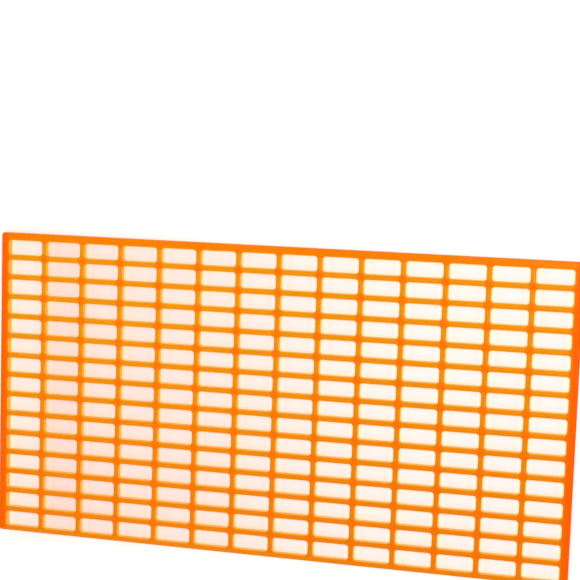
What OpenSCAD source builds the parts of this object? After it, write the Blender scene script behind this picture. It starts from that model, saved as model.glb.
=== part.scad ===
// Queen excluder: a flat moulded lattice with slots that worker bees pass
// and the wider queen does not.
//
// The lattice lies in the XY plane with +Z up. X runs along the slots and
// along the long side of the lattice, Y runs across the slots. The origin is
// at the middle of the outline, in the plane of the rims' undersides.
// Every bar's top is flush with the rims' tops; the end rims and the top rim
// reach lower than the bars, so that the lattice rests on them.
// All sizes are in millimetres.

/* [Slots] */
// Width of a slot, which is the gauge that holds the queen back
slot_w = 4.1; // [4.1:0.05:4.4]
// Length of a slot
slot_l = 9.95; // [8:0.05:14]
// Radius in the corners of a slot
slot_r = 0.8; // [0.3:0.05:1.2]
// Number of slots along the lattice
slots_x = 14; // [2:1:20]
// Number of slots across the lattice
slots_y = 15; // [2:1:20]

/* [Bars] */
// Width of a slot bar, between two rows of slots
slot_bar_w = 1.55; // [1.2:0.05:2.5]
// Width of a cross bar, between two slots of one row
cross_bar_w = 1.5; // [1.2:0.05:2.5]
// Thickness of the bars
bar_t = 1.6; // [1.4:0.1:2.4]

/* [Rims] */
// Width of the left and right rims
end_rim_w = 2.35; // [1.6:0.05:4]
// Width of the top rim
top_rim_w = 2.15; // [1.4:0.05:4]
// Width of the bottom rim, which is no heavier than a bar
bottom_rim_w = 1.5; // [1.2:0.05:4]
// Thickness of the left, right and top rims
rim_t = 2.4; // [2.4:0.1:3.2]
// Radius of the outline's four corners, in plan
outline_r = 0.8; // [0.3:0.1:1.2]

/* [Hidden] */
$fn = 48;

// Pitches of the grid of slots
pitch_x = slot_l + cross_bar_w;
pitch_y = slot_w + slot_bar_w;

// The field of slots, rim to rim
field_x = slots_x * slot_l + (slots_x - 1) * cross_bar_w;
field_y = slots_y * slot_w + (slots_y - 1) * slot_bar_w;

// The outline
size_x = field_x + 2 * end_rim_w;
size_y = field_y + top_rim_w + bottom_rim_w;

// The rims differ in width, so the field's middle is off the outline's middle
field_mid_y = (bottom_rim_w - top_rim_w) / 2;
field_top = field_mid_y + field_y / 2;
field_bottom = field_mid_y - field_y / 2;

// Levels: the bars' underside, the level where crossing bars meet, the top
bar_z = rim_t - bar_t;
lap_z = bar_z + bar_t / 2;

// Where a corner fillet has thinned to nothing it is cut off square
fillet_reach = 0.8 * slot_r;

function two(n) = str(n < 10 ? "0" : "", n);
// Rows are counted from the top rim, columns from the left rim
function row_y(j) = field_top - slot_w / 2 - (j - 1) * pitch_y;
function slot_bar_y(j) = field_top - j * pitch_y + slot_bar_w / 2;
function cross_bar_x(i) = -field_x / 2 + i * pitch_x - cross_bar_w / 2;

rim_colour = [0.96, 0.33, 0.01];
top_rim_colour = [0.96, 0.41, 0.01];
slot_bar_colour = [0.97, 0.52, 0.04];
cross_bar_colour = [0.95, 0.47, 0.03];

// One rib of a cross bar in plan, between two slot bars. Its two ends flare
// out along the fillets of the four slot corners that it stands between.
module rib_plan() {
  difference() {
    square([cross_bar_w + 2 * fillet_reach, slot_w], center = true);
    for (s = [-1, 1])
      translate([s * (cross_bar_w / 2 + slot_r), 0]) {
        square([2 * slot_r, slot_w - 2 * slot_r], center = true);
        for (t = [-1, 1])
          translate([0, t * (slot_w / 2 - slot_r)]) circle(r = slot_r);
      }
  }
}

// One end of a row in plan: the two fillets that an end rim carries. The rim
// is on the left, and its inner face is at x = 0.
module row_end_plan() {
  difference() {
    translate([0, -slot_w / 2]) square([fillet_reach, slot_w]);
    translate([slot_r, 0]) {
      square([2 * slot_r, slot_w - 2 * slot_r], center = true);
      for (t = [-1, 1])
        translate([0, t * (slot_w / 2 - slot_r)]) circle(r = slot_r);
    }
  }
}

// An end rim in plan, with the outline's two rounded corners on its left
module end_rim_plan() {
  translate([-size_x / 2, -size_y / 2]) difference() {
    square([end_rim_w, size_y]);
    for (t = [0, 1])
      translate([0, t * size_y]) mirror([0, t, 0]) difference() {
        square([outline_r, outline_r]);
        translate([outline_r, outline_r]) circle(r = outline_r);
      }
  }
}

module end_rim() {
  linear_extrude(rim_t) end_rim_plan();
  for (j = [1 : slots_y])
    translate([-field_x / 2, row_y(j), bar_z])
      linear_extrude(bar_t) row_end_plan();
}

module left_rim() {
  color(rim_colour) end_rim();
}

module right_rim() {
  color(rim_colour) mirror([1, 0, 0]) end_rim();
}

module top_rim() {
  color(top_rim_colour)
    translate([-field_x / 2, field_top, 0])
      cube([field_x, top_rim_w, rim_t]);
}

module bottom_rim() {
  color(top_rim_colour)
    translate([-field_x / 2, -size_y / 2, bar_z])
      cube([field_x, bottom_rim_w, bar_t]);
}

// A slot bar runs the whole length of the field. At every crossing its lower
// half is given up to the cross bar.
module slot_bar(j) {
  color(slot_bar_colour)
    translate([0, slot_bar_y(j), 0]) difference() {
      translate([-field_x / 2, -slot_bar_w / 2, bar_z])
        cube([field_x, slot_bar_w, bar_t]);
      for (i = [1 : slots_x - 1])
        translate([cross_bar_x(i) - cross_bar_w / 2, -slot_bar_w, bar_z - 1])
          cube([cross_bar_w, 2 * slot_bar_w, lap_z - bar_z + 1]);
    }
}

// A cross bar runs from the bottom rim to the top rim. Its ribs stand between
// the slot bars at full height, joined below them by its lower half.
module cross_bar(i) {
  color(cross_bar_colour) translate([cross_bar_x(i), 0, 0]) {
    translate([-cross_bar_w / 2, field_bottom, bar_z])
      cube([cross_bar_w, field_y, lap_z - bar_z]);
    for (j = [1 : slots_y])
      translate([0, row_y(j), bar_z]) linear_extrude(bar_t) rib_plan();
  }
}

left_rim();
right_rim();
top_rim();
bottom_rim();
for (j = [1 : slots_y - 1])
  slot_bar(j);
for (i = [1 : slots_x - 1])
  cross_bar(i);
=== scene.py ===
"""Queen excluder: the finished look of each member of the moulded lattice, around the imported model."""
import math

import bmesh
import bpy
from mathutils import Matrix, Vector


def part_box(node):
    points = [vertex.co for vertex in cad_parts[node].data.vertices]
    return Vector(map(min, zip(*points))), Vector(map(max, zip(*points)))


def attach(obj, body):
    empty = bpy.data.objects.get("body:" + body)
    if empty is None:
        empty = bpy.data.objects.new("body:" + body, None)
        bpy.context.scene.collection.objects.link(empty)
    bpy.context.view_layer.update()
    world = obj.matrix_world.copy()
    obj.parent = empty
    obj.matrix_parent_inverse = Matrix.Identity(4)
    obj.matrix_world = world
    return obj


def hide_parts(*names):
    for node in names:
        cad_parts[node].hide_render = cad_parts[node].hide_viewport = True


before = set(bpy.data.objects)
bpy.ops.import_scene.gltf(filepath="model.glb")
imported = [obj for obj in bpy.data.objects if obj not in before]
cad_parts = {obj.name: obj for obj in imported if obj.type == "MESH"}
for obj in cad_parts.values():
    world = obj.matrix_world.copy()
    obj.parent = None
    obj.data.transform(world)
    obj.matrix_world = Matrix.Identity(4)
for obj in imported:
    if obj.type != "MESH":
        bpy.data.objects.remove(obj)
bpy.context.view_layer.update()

MM = 0.001


# ---------------------------------------------------------------- sizes, in millimetres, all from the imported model
def box_mm(node):
    lo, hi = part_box(node)
    return [round(v / MM, 3) for v in lo], [round(v / MM, 3) for v in hi]


names = sorted(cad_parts)
slot_bars = [n for n in names if n.startswith("slot_bar_")]
cross_bars = [n for n in names if n.startswith("cross_bar_")]
COLS, ROWS = len(cross_bars) + 1, len(slot_bars) + 1

top_lo, top_hi = box_mm("top_rim")
bottom_lo, bottom_hi = box_mm("bottom_rim")
left_lo, left_hi = box_mm("left_rim")
X_OUT, X_FIELD = -left_lo[0], top_hi[0]          # outline and field of slots, half lengths
Y_TOP, Y_BOTTOM = top_hi[1], bottom_lo[1]        # outline
F_TOP, F_BOTTOM = top_lo[1], bottom_hi[1]        # field of slots
Z_TOP, Z_BAR = top_hi[2], bottom_lo[2]           # top face, and the bars' undersides

bar_y = [tuple(box_mm(n)[k][1] for k in (0, 1)) for n in slot_bars]            # top to bottom
bar_x = [sum(box_mm(n)[k][0] for k in (0, 1)) / 2 for n in cross_bars]         # left to right
PITCH_X = (bar_x[-1] - bar_x[0]) / (len(bar_x) - 1)
SLOT_L = 2 * X_FIELD - (COLS - 1) * PITCH_X
CROSS_W = PITCH_X - SLOT_L
SLOT_W = F_TOP - bar_y[0][1]
BAR_W = bar_y[0][1] - bar_y[0][0]
PITCH_Y = SLOT_W + BAR_W
SLOT_R = 0.8        # fillet in a slot's corners
OUTLINE_R = 0.8     # the outline's corners
EDGE = 0.40         # rounding along every edge
LAP_Z = (Z_TOP + Z_BAR) / 2
HALF_L, HALF_W = SLOT_L / 2, SLOT_W / 2

col_x = [-X_FIELD + HALF_L + i * PITCH_X for i in range(COLS)]
row_y = [F_TOP - HALF_W - j * PITCH_Y for j in range(ROWS)]

ARC = 8             # segments in a slot's corner, even, so that one vertex faces the corner
ROUND = 4           # segments across a rounded edge
ALONG, ACROSS = 8, 3


# ---------------------------------------------------------------- the moulding round a block of slots, as one closed mesh
class Builder:
    def __init__(self):
        self.verts, self.index, self.faces = [], {}, []

    def v(self, x, y, z):
        key = (round(x, 4), round(y, 4), round(z, 4))
        if key not in self.index:
            self.index[key] = len(self.verts)
            self.verts.append(key)
        return self.index[key]

    def face(self, *ids):
        out = []
        for i in ids:
            if i not in out:
                out.append(i)
        if len(out) > 2:
            self.faces.append(out)

    def bm(self):
        bm = bmesh.new()
        made = [bm.verts.new(p) for p in self.verts]
        for f in self.faces:
            bm.faces.new([made[i] for i in f])
        open_edges = [e for e in bm.edges if len(e.link_faces) == 1]
        if open_edges:
            bmesh.ops.holes_fill(bm, edges=open_edges, sides=0)
        bmesh.ops.recalc_face_normals(bm, faces=bm.faces[:])
        return bm


def slot_levels():
    """(offset into the material, height) from the top face's edge, down the wall, to the underside's edge"""
    steps = [math.pi / 2 * (1 - i / ROUND) for i in range(ROUND + 1)]
    down = [(EDGE * (1 - math.cos(t)), Z_TOP - EDGE + EDGE * math.sin(t)) for t in steps]
    up = [(EDGE * (1 - math.cos(t)), Z_BAR + EDGE - EDGE * math.sin(t)) for t in reversed(steps)]
    return down + up


def outline_levels():
    """(offset out from the flat top, height) over the outline's rounded edge, down the wall and under"""
    steps = [math.pi / 2 * i / ROUND for i in range(ROUND + 1)]
    down = [(EDGE * math.sin(t), Z_TOP - EDGE * (1 - math.cos(t))) for t in steps]
    up = [(EDGE * math.sin(t), Z_BAR + EDGE * (1 - math.cos(t))) for t in reversed(steps)]
    return down + up


SLOT_LEVELS, OUTLINE_LEVELS = slot_levels(), outline_levels()


def cell_ring(c, r):
    """The points round slot (c, r): each is (wall x, y, normal x, y, boundary x, y, corner number or None), with the side that the edge to the next point is on."""
    left = X_OUT - X_FIELD - EDGE if c == 0 else CROSS_W / 2
    right = X_OUT - X_FIELD - EDGE if c == COLS - 1 else CROSS_W / 2
    top = Y_TOP - F_TOP - EDGE if r == 0 else BAR_W / 2
    bottom = F_BOTTOM - Y_BOTTOM - EDGE if r == ROWS - 1 else BAR_W / 2
    a, b, q = HALF_L, HALF_W, SLOT_R
    ring = []
    spec = [  # corner: signs, reach in x and y, the sides before and after
        ((1, 1), right, top, "R", "T"), ((-1, 1), left, top, "T", "L"),
        ((-1, -1), left, bottom, "L", "B"), ((1, -1), right, bottom, "B", "R")]
    outer = {(c == COLS - 1, r == 0, 0), (c == 0, r == 0, 1), (c == 0, r == ROWS - 1, 2), (c == COLS - 1, r == ROWS - 1, 3)}
    for n, ((sx, sy), reach_x, reach_y, before, after) in enumerate(spec):
        rounded = (True, True, n) in outer
        for k in range(ARC + 1):
            t = math.pi / 2 * (n + k / ARC)
            cos, sin = math.cos(t), math.sin(t)
            wall = (sx * (a - q) + q * cos, sy * (b - q) + q * sin)
            if rounded:
                flat_r = OUTLINE_R - EDGE
                edge = (sx * (a + reach_x - flat_r) + flat_r * cos, sy * (b + reach_y - flat_r) + flat_r * sin)
            else:
                half = ARC / 2
                first_x = before in "RL"
                near, far = min(k, half) / half, min(ARC - k, half) / half
                gx = far if first_x else near
                gy = near if first_x else far
                edge = (sx * (a - q + gx * (q + reach_x)), sy * (b - q + gy * (q + reach_y)))
            side = before if k < ARC / 2 else after
            ring.append((wall, (cos, sin), edge, (cos, sin) if rounded else None, side))
        # the straight run to the next corner
        if after in "TB":
            count, p0, p1 = ALONG, (sx * (a - q), sy * b), (-sx * (a - q), sy * b)
            off = (0, sy * (top if sy > 0 else bottom))
        else:
            count, p0, p1 = ACROSS, (sx * a, sy * (b - q)), (sx * a, -sy * (b - q))
            off = (sx * (right if sx > 0 else left), 0)
        normal = {"T": (0, 1), "B": (0, -1), "L": (-1, 0), "R": (1, 0)}[after]
        for k in range(1, count):
            w = tuple(p0[d] + (p1[d] - p0[d]) * k / count for d in (0, 1))
            ring.append((w, normal, (w[0] + off[0], w[1] + off[1]), None, after))
    return ring


OUT = {"T": (0, 1), "B": (0, -1), "L": (-1, 0), "R": (1, 0)}


def plate(cols, rows):
    """The moulding round these slots, at the bars' thickness, closed at the middle of the bars that bound the block, or at the outline."""
    g = Builder()
    for c in cols:
        for r in rows:
            ring = cell_ring(c, r)
            ox, oy = col_x[c], row_y[r]
            size = len(ring)
            rings = [[g.v(ox + p[2][0], oy + p[2][1], Z_TOP) for p in ring]]
            for d, z in SLOT_LEVELS:
                rings.append([g.v(ox + p[0][0] + p[1][0] * d, oy + p[0][1] + p[1][1] * d, z) for p in ring])
            rings.append([g.v(ox + p[2][0], oy + p[2][1], Z_BAR) for p in ring])
            for u, w in zip(rings, rings[1:]):
                for s in range(size):
                    n = (s + 1) % size
                    g.face(u[s], u[n], w[n], w[s])
            for s in range(size):
                n = (s + 1) % size
                side = ring[s][4]
                at_outline = {"L": c == 0, "R": c == COLS - 1, "T": r == 0, "B": r == ROWS - 1}[side]
                inside = {"L": c - 1 in cols, "R": c + 1 in cols, "T": r - 1 in rows, "B": r + 1 in rows}[side]
                if at_outline:
                    strips = []
                    for k in (s, n):
                        (ex, ey), normal = ring[k][2], ring[k][3] or OUT[side]
                        strips.append([g.v(ox + ex + normal[0] * d, oy + ey + normal[1] * d, z) for d, z in OUTLINE_LEVELS])
                    for i in range(len(OUTLINE_LEVELS) - 1):
                        g.face(strips[0][i], strips[0][i + 1], strips[1][i + 1], strips[1][i])
                elif not inside:
                    g.face(rings[0][s], rings[-1][s], rings[-1][n], rings[0][n])
    return g.bm()


def blocks(xs, ys, zs, filled):
    """A closed mesh round the filled cells of a rectangular grid"""
    g = Builder()
    nx, ny, nz = len(xs) - 1, len(ys) - 1, len(zs) - 1

    def full(i, j, k):
        return 0 <= i < nx and 0 <= j < ny and 0 <= k < nz and filled(i, j, k)

    for i in range(nx):
        for j in range(ny):
            for k in range(nz):
                if not full(i, j, k):
                    continue
                for axis in range(3):
                    for step in (0, 1):
                        other = [i, j, k]
                        other[axis] += 1 if step else -1
                        if full(*other):
                            continue
                        at = [i, j, k]
                        at[axis] += step
                        u, w = [d for d in range(3) if d != axis]
                        corners = []
                        for du, dw in ((0, 0), (1, 0), (1, 1), (0, 1)):
                            p = list(at)
                            p[u] += du
                            p[w] += dw
                            corners.append(g.v(xs[p[0]], ys[p[1]], zs[p[2]]))
                        g.face(*corners)
    return g.bm()


def skirt(x0, x1, y0, y1):
    """The part of a rim that reaches below the bars: a bar with rounded lower edges, its top inside the plate"""
    g = Builder()
    inset, top = 0.05, LAP_Z
    x0, x1, y0, y1 = x0 + inset, x1 - inset, y0 + inset, y1 - inset
    corner = OUTLINE_R - inset
    levels = [(0.0, top)] + [(EDGE * (1 - math.cos(t)), EDGE - EDGE * math.sin(t)) for t in [math.pi / 2 * i / ROUND for i in range(ROUND + 1)]]
    corners = [(x1, y1, 0), (x0, y1, 1), (x0, y0, 2), (x1, y0, 3)]

    def is_outer(n):
        x, y, _ = corners[n]
        return abs(abs(x) - X_OUT) < 0.2 and (abs(y - Y_TOP) < 0.2 or abs(y - Y_BOTTOM) < 0.2)

    rings = []
    for d, z in levels:
        loop = []
        for n, (x, y, _) in enumerate(corners):
            sx, sy = (1, -1, -1, 1)[n], (1, 1, -1, -1)[n]
            radius = corner if is_outer(n) else EDGE + 0.02
            for k in range(ARC + 1):
                t = math.pi / 2 * (n + k / ARC)
                loop.append(g.v(x - sx * radius + (radius - d) * math.cos(t), y - sy * radius + (radius - d) * math.sin(t), z))
        rings.append(loop)
    for u, w in zip(rings, rings[1:]):
        for s in range(len(u)):
            n = (s + 1) % len(u)
            g.face(u[s], w[s], w[n], u[n])
    g.face(*rings[0])
    g.face(*reversed(rings[-1]))
    return g.bm()


def temp(bm, name):
    mesh = bpy.data.meshes.new(name)
    bm.to_mesh(mesh)
    bm.free()
    o = bpy.data.objects.new(name, mesh)
    bpy.context.scene.collection.objects.link(o)
    return o


def combine(base, other, operation):
    """base with other joined to it, or base kept only inside other"""
    m = base.modifiers.new("cut", "BOOLEAN")
    m.operation, m.solver, m.object = operation, "EXACT", other
    dg = bpy.context.evaluated_depsgraph_get()
    made = bpy.data.meshes.new_from_object(base.evaluated_get(dg))
    base.modifiers.clear()
    old = base.data
    base.data = made
    bpy.data.meshes.remove(old)
    old = other.data
    bpy.data.objects.remove(other)
    bpy.data.meshes.remove(old)
    return base


def finished(o, name):
    """Cleans the mesh, puts it in metres, and shades it"""
    bm = bmesh.new()
    bm.from_mesh(o.data)
    bmesh.ops.remove_doubles(bm, verts=bm.verts[:], dist=2e-4)
    bmesh.ops.dissolve_degenerate(bm, edges=bm.edges[:], dist=1e-4)
    bmesh.ops.recalc_face_normals(bm, faces=bm.faces[:])
    bad = sum(1 for e in bm.edges if len(e.link_faces) != 2)
    loose = sum(1 for v in bm.verts if not v.link_faces)
    if bad or loose:
        print("OPEN MESH", name, bad, loose)
    bmesh.ops.transform(bm, matrix=Matrix.Scale(MM, 4), verts=bm.verts[:])
    bm.to_mesh(o.data)
    bm.free()
    o.name = name
    o.data.name = name
    o.data.shade_smooth()
    o.data.set_sharp_from_angle(angle=math.radians(38))
    m = o.modifiers.new("even_shading", "WEIGHTED_NORMAL")
    m.keep_sharp = True
    return o


# ---------------------------------------------------------------- the members
SEAM = 0.02     # a slot bar's share ends this far inside the slot, just past its wall
FAR = 90.0


def slot_spans():
    """y intervals from the bottom up, each with whether it is across a slot"""
    edges = []
    for y in reversed(row_y):
        edges += [y - HALF_W + SEAM, y + HALF_W - SEAM]
    return edges


def make_slot_bar(j):
    o = temp(plate(range(COLS), (j, j + 1)), "work")
    lo, hi = bar_y[j]
    xs = [-X_FIELD] + [x for c in bar_x for x in (c - CROSS_W / 2, c + CROSS_W / 2)] + [X_FIELD]
    notch = blocks(xs, [lo - SEAM, hi + SEAM], [-1.0, LAP_Z, 4.0], lambda a, b, c: c == 1 or a % 2 == 0)
    return combine(o, temp(notch, "domain"), "INTERSECT")


def make_cross_bar(i):
    o = temp(plate((i, i + 1), range(ROWS)), "work")
    x = bar_x[i]
    wide = CROSS_W / 2 + SLOT_R + 0.1
    ys = slot_spans()
    shape = blocks([x - wide, x - CROSS_W / 2, x + CROSS_W / 2, x + wide], ys, [-1.0, LAP_Z, 4.0],
                   lambda a, b, c: b % 2 == 0 or (a == 1 and c == 0))
    return combine(o, temp(shape, "domain"), "INTERSECT")


def make_end_rim(sign):
    c = 0 if sign < 0 else COLS - 1
    o = temp(plate((c,), range(ROWS)), "work")
    xs = sorted([sign * FAR, sign * X_FIELD])
    combine(o, temp(skirt(*sorted([sign * X_OUT, sign * X_FIELD]), Y_BOTTOM, Y_TOP), "skirt"), "UNION")
    ys = [-FAR] + slot_spans() + [FAR]
    grid = sorted([sign * FAR, sign * X_FIELD, sign * (X_FIELD - SLOT_R - 0.1)])
    rim_cell = 0 if sign < 0 else 1
    shape = blocks(grid, ys, [-1.0, 4.0], lambda a, b, c_: a == rim_cell or b % 2 == 1)
    return combine(o, temp(shape, "domain"), "INTERSECT")


def make_long_rim(top):
    r = 0 if top else ROWS - 1
    o = temp(plate(range(COLS), (r,)), "work")
    if top:
        combine(o, temp(skirt(-X_OUT - 5, X_OUT + 5, F_TOP, Y_TOP), "skirt"), "UNION")
    ys = [F_TOP - SEAM, FAR] if top else [-FAR, F_BOTTOM + SEAM]
    return combine(o, temp(blocks([-X_FIELD, X_FIELD], ys, [-1.0, 4.0], lambda a, b, c: True), "domain"), "INTERSECT")


jobs = [("left_rim", lambda: make_end_rim(-1)), ("right_rim", lambda: make_end_rim(1)),
        ("top_rim", lambda: make_long_rim(True)), ("bottom_rim", lambda: make_long_rim(False))]
jobs += [(n, lambda j=j: make_slot_bar(j)) for j, n in enumerate(slot_bars)]
jobs += [(n, lambda i=i: make_cross_bar(i)) for i, n in enumerate(cross_bars)]
members = {node: finished(make(), node + "_moulded") for node, make in jobs}


# ---------------------------------------------------------------- the plastic
def linear(rgb):
    """sRGB, 0 to 255, to linear"""
    return tuple((v / 255 / 12.92 if v <= 10.31 else ((v / 255 + 0.055) / 1.055) ** 2.4) for v in rgb) + (1.0,)


class Nodes:
    def __init__(self, material):
        self.tree = material.node_tree
        self.n, self.l = self.tree.nodes, self.tree.links

    def put(self, socket, value):
        if isinstance(value, bpy.types.NodeSocket):
            self.l.new(value, socket)
        else:
            socket.default_value = value

    def math(self, op, *values, clamp=False):
        node = self.n.new("ShaderNodeMath")
        node.operation, node.use_clamp = op, clamp
        for i, v in enumerate(values):
            self.put(node.inputs[i], v)
        return node.outputs[0]

    def ramp(self, value, lo, hi, a=0.0, b=1.0):
        node = self.n.new("ShaderNodeMapRange")
        node.interpolation_type = "SMOOTHSTEP"
        for i, v in enumerate((value, lo, hi, a, b)):
            self.put(node.inputs[i], v)
        return node.outputs[0]

    def mix(self, factor, a, b, blend="MIX"):
        node = self.n.new("ShaderNodeMix")
        node.data_type, node.blend_type = "RGBA", blend
        self.put(node.inputs[0], factor)
        self.put(node.inputs[6], a)
        self.put(node.inputs[7], b)
        return node.outputs[2]

    def noise(self, coords, scale, detail=3.0, roughness=0.5):
        node = self.n.new("ShaderNodeTexNoise")
        self.put(node.inputs["Vector"], coords)
        node.inputs["Scale"].default_value = scale
        node.inputs["Detail"].default_value = detail
        node.inputs["Roughness"].default_value = roughness
        return node.outputs["Fac"]


GAIN = 0.78     # the share of the studio's light on the part that its colours are meant for


def shade(rgb):
    return tuple(v * GAIN for v in linear(rgb)[:3]) + (1.0,)


def plastic():
    m = bpy.data.materials.new("orange_polypropylene")
    m.use_nodes = True
    k = Nodes(m)
    bsdf = k.n["Principled BSDF"]
    at = k.n.new("ShaderNodeTexCoord").outputs["Object"]
    split = k.n.new("ShaderNodeSeparateXYZ")
    k.l.new(at, split.inputs[0])
    x, y, z = split.outputs
    # distance to the middle of the nearest cross bar and slot bar
    mid_x, mid_y = bar_x[len(bar_x) // 2], sum(bar_y[len(bar_y) // 2]) / 2
    to_cross = k.math("PINGPONG", k.math("SUBTRACT", x, mid_x * MM), PITCH_X / 2 * MM)
    to_slot_bar = k.math("PINGPONG", k.math("SUBTRACT", y, mid_y * MM), PITCH_Y / 2 * MM)
    near_cross = k.ramp(to_cross, 0.3 * MM, 1.9 * MM, 1.0, 0.0)
    near_slot_bar = k.ramp(to_slot_bar, 0.3 * MM, 1.9 * MM, 1.0, 0.0)
    crossing = k.math("MULTIPLY", near_cross, near_slot_bar)
    end_rim = k.ramp(k.math("ABSOLUTE", x), (X_FIELD - 0.2) * MM, (X_FIELD + 1.0) * MM)
    top_rim = k.ramp(y, (F_TOP - 0.2) * MM, (F_TOP + 0.7) * MM)
    bottom_rim = k.ramp(y, (F_BOTTOM + 0.1) * MM, (F_BOTTOM - 0.5) * MM)
    # painted shade: the bars turn deeper orange towards the bottom, standing in for light falling from above
    painted_shade_lower = k.ramp(y, 30 * MM, -40 * MM)

    slot_colour = k.mix(painted_shade_lower, shade((245, 155, 10)), shade((246, 139, 9)))
    cross_colour = k.mix(painted_shade_lower, shade((239, 156, 18)), shade((242, 139, 15)))
    # painted light: the thin bars are paler and yellower than the crossings and rims, which are deeper orange, standing
    # in for light passing through the thin plastic
    colour = k.mix(near_slot_bar, cross_colour, slot_colour)
    colour = k.mix(crossing, colour, shade((255, 123, 0)))
    colour = k.mix(bottom_rim, colour, shade((244, 141, 14)))
    colour = k.mix(top_rim, colour, shade((251, 134, 0)))
    colour = k.mix(end_rim, colour, shade((255, 104, 0)))
    # painted shade: paler at the -x end and darker at the +x end, evening out the key light's falloff across the plate
    painted_falloff = k.ramp(x, -70 * MM, 60 * MM)
    colour = k.mix(1.0, colour, k.mix(painted_falloff, (1.045, 1.03, 1.0, 1.0), (0.955, 0.885, 0.86, 1.0)), "MULTIPLY")
    # pigment that is not perfectly mixed, at two scales
    cloud = k.noise(at, 55.0, 3.0, 0.55)
    speck = k.noise(at, 900.0, 2.0, 0.6)
    colour = k.mix(k.ramp(cloud, 0.35, 0.70, 0.0, 0.10), colour, shade((243, 118, 8)))
    colour = k.mix(k.ramp(speck, 0.62, 0.80, 0.0, 0.14), colour, shade((255, 165, 40)))
    # painted light: the slot walls get a yellow glow colour, standing in for light bounced off the floor and passing
    # through the thin walls
    facing = k.n.new("ShaderNodeSeparateXYZ")
    k.l.new(k.n["Texture Coordinate"].outputs["Normal"], facing.inputs[0])
    wall = k.ramp(k.math("ABSOLUTE", facing.outputs[2]), 0.94, 0.40, 0.0, 1.0)
    inside_x = k.ramp(k.math("ABSOLUTE", x), (X_FIELD + 0.8) * MM, (X_FIELD + 0.3) * MM)
    inside_y = k.math("MULTIPLY", k.ramp(y, (F_TOP + 0.8) * MM, (F_TOP + 0.3) * MM),
                      k.ramp(y, (F_BOTTOM - 0.8) * MM, (F_BOTTOM - 0.3) * MM))
    wall = k.math("MULTIPLY", wall, k.math("MULTIPLY", inside_x, inside_y))
    colour = k.mix(k.math("MULTIPLY", wall, 0.80), colour, (1.0, 0.55, 0.06, 1.0))
    k.l.new(colour, bsdf.inputs["Base Color"])
    bsdf.inputs["Subsurface Weight"].default_value = 0.50
    bsdf.inputs["Subsurface Radius"].default_value = (1.0, 0.80, 0.50)
    bsdf.inputs["Subsurface Scale"].default_value = 0.00012
    # satin skin: finer and duller patches, with the faces' wear along the top edges
    top_edge = k.math("MULTIPLY", k.ramp(z, (Z_TOP - 0.30) * MM, (Z_TOP - 0.08) * MM),
                      k.ramp(z, (Z_TOP - 0.004) * MM, (Z_TOP - 0.03) * MM))
    scuff = k.noise(at, 240.0, 5.0, 0.7)
    rough = k.ramp(cloud, 0.3, 0.7, 0.30, 0.40)
    rough = k.math("ADD", rough, k.ramp(scuff, 0.52, 0.70, 0.0, 0.14))
    rough = k.math("ADD", rough, k.math("MULTIPLY", top_edge, 0.08))
    k.l.new(rough, bsdf.inputs["Roughness"])
    grain = k.noise(at, 5200.0, 2.0, 0.5)
    ripple = k.noise(at, 420.0, 2.0, 0.5)
    height = k.math("ADD", k.math("MULTIPLY", grain, 0.35), k.math("MULTIPLY", ripple, 0.65))
    bump = k.n.new("ShaderNodeBump")
    bump.inputs["Strength"].default_value = 0.45
    bump.inputs["Distance"].default_value = 0.00006
    k.l.new(height, bump.inputs["Height"])
    k.l.new(bump.outputs["Normal"], bsdf.inputs["Normal"])
    bsdf.inputs["IOR"].default_value = 1.49
    bsdf.inputs["Specular IOR Level"].default_value = 0.26
    bsdf.inputs["Specular Tint"].default_value = (1.0, 0.50, 0.06, 1.0)
    return m


plastic_material = plastic()
for node, piece in members.items():
    piece.data.materials.clear()
    piece.data.materials.append(plastic_material)
    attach(piece, "root")
    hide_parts(node)


# ---------------------------------------------------------------- camera, in the lattice's own frame
camera = bpy.data.cameras.new("camera")
camera.sensor_width = 36.0
camera.lens = 36.0 * 1429.4846 / 580
camera.clip_start, camera.clip_end = 0.01, 20.0
cam = bpy.data.objects.new("camera", camera)
bpy.context.scene.collection.objects.link(cam)
middle = Vector((0.0, (F_TOP + F_BOTTOM) / 2 * MM, Z_TOP * MM))
right = Vector((0.970302, 0.032414, -0.239716)).normalized()
ahead = Vector((-0.234977, -0.109051, -0.965864)).normalized()
up = right.cross(ahead).normalized()
right = ahead.cross(up)
place = middle + Vector((0.094941247, 0.074520400, 0.376135140))
turn = Matrix((right, up, -ahead)).transposed().to_4x4()
cam.matrix_world = Matrix.Translation(place) @ turn
bpy.context.scene.camera = cam

# ---------------------------------------------------------------- studio: a pale floor with painted light and shade under and round the lattice, a soft dome and a broad key
floor_mesh = bpy.data.meshes.new("floor")
floor_bm = bmesh.new()
bmesh.ops.create_grid(floor_bm, x_segments=1, y_segments=1, size=6.0)
floor_bm.to_mesh(floor_mesh)
floor_bm.free()
floor = bpy.data.objects.new("floor", floor_mesh)
bpy.context.scene.collection.objects.link(floor)
floor_material = bpy.data.materials.new("pale_floor")
floor_material.use_nodes = True
floor_bsdf = floor_material.node_tree.nodes["Principled BSDF"]
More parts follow.
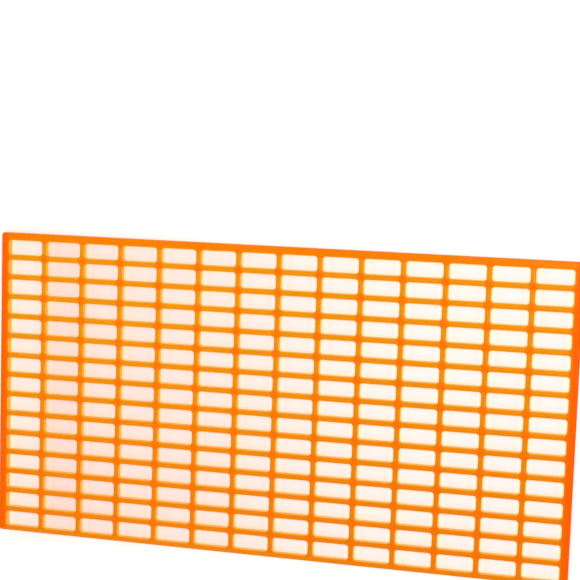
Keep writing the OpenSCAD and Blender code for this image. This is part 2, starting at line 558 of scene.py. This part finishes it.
# painted light and shade: under the lattice the floor is given a pink tint for the light that comes through the
# plastic, pinker towards -x, with a darker band of painted shadow and a paler strip near the -x end
f = Nodes(floor_material)
f_split = f.n.new("ShaderNodeSeparateXYZ")
f.l.new(f.n.new("ShaderNodeTexCoord").outputs["Object"], f_split.inputs[0])
fx, fy, fz = f_split.outputs
under = f.math("MULTIPLY", f.ramp(f.math("ABSOLUTE", fx), (X_OUT + 0.2) * MM, (X_FIELD - 0.2) * MM),
               f.math("MULTIPLY", f.ramp(fy, (Y_TOP + 0.2) * MM, (F_TOP - 0.2) * MM),
                      f.ramp(fy, (Y_BOTTOM - 0.4) * MM, (F_BOTTOM + 0.3) * MM)))
painted_tint_under = f.mix(f.ramp(fx, -45 * MM, 45 * MM), (0.90, 0.760, 0.750, 1.0), (0.90, 0.825, 0.845, 1.0))
painted_tint_under = f.mix(f.ramp(fx, -50 * MM, -62 * MM), painted_tint_under, (0.90, 0.730, 0.705, 1.0))
painted_tint_under = f.mix(f.ramp(fx, -67 * MM, -73 * MM), painted_tint_under, (0.90, 0.830, 0.820, 1.0))
# painted light: close to a bar the floor is made yellower and given an emission glow, standing in for light through the
# bar's edges, and just outside the outline a faint emission lifts the contact shade
f_cross = f.math("PINGPONG", f.math("SUBTRACT", fx, bar_x[len(bar_x) // 2] * MM), PITCH_X / 2 * MM)
f_slot_bar = f.math("PINGPONG", f.math("SUBTRACT", fy, sum(bar_y[len(bar_y) // 2]) / 2 * MM), PITCH_Y / 2 * MM)
painted_lift_round_outline = f.math("MULTIPLY", f.ramp(f.math("ABSOLUTE", fx), (X_OUT + 2.5) * MM, X_OUT * MM),
                f.math("MULTIPLY", f.ramp(fy, (Y_TOP + 2.5) * MM, Y_TOP * MM), f.ramp(fy, (Y_BOTTOM - 2.5) * MM, Y_BOTTOM * MM)))
painted_glow = f.math("ADD", f.ramp(f_cross, 2.9 * MM, 0.9 * MM, 0.0, 0.12), f.ramp(f_slot_bar, 1.9 * MM, 0.8 * MM, 0.0, 0.06))
painted_near_bar_light = f.math("MULTIPLY", under, f.math("MAXIMUM", f.ramp(f_cross, 1.8 * MM, 0.9 * MM), f.ramp(f_slot_bar, 1.6 * MM, 0.8 * MM)))
pale = f.mix(under, (0.90, 0.880, 0.875, 1.0), painted_tint_under)
f.l.new(f.mix(painted_near_bar_light, pale, f.mix(1.0, pale, (1.0, 1.01, 0.84, 1.0), "MULTIPLY")), floor_bsdf.inputs["Base Color"])
f.l.new(f.mix(painted_near_bar_light, (1.0, 1.0, 0.90, 1.0), (1.0, 1.0, 0.45, 1.0)), floor_bsdf.inputs["Emission Color"])
painted_glow = f.math("ADD", f.math("MULTIPLY", under, painted_glow), f.math("MULTIPLY", f.math("SUBTRACT", painted_lift_round_outline, under, clamp=True), 0.05))
f.l.new(painted_glow, floor_bsdf.inputs["Emission Strength"])
floor_bsdf.inputs["Roughness"].default_value = 0.9
floor_bsdf.inputs["Specular IOR Level"].default_value = 0.1
floor_mesh.materials.append(floor_material)

world = bpy.data.worlds.new("dome")
bpy.context.scene.world = world
world.use_nodes = True
background = world.node_tree.nodes["Background"]
background.inputs["Color"].default_value = (1.0, 1.0, 1.0, 1.0)
background.inputs["Strength"].default_value = 0.82

key_data = bpy.data.lights.new("key", "AREA")
key_data.shape = "DISK"
key_data.size = 0.09
key_data.energy = 0.79
key = bpy.data.objects.new("key", key_data)
bpy.context.scene.collection.objects.link(key)
key.matrix_world = Matrix.Translation(place) @ turn

bpy.context.scene.view_settings.view_transform = "Standard"
bpy.context.scene.view_settings.look = "None"
bpy.context.scene.view_settings.exposure = 0.0
bpy.context.scene.view_settings.gamma = 1.0
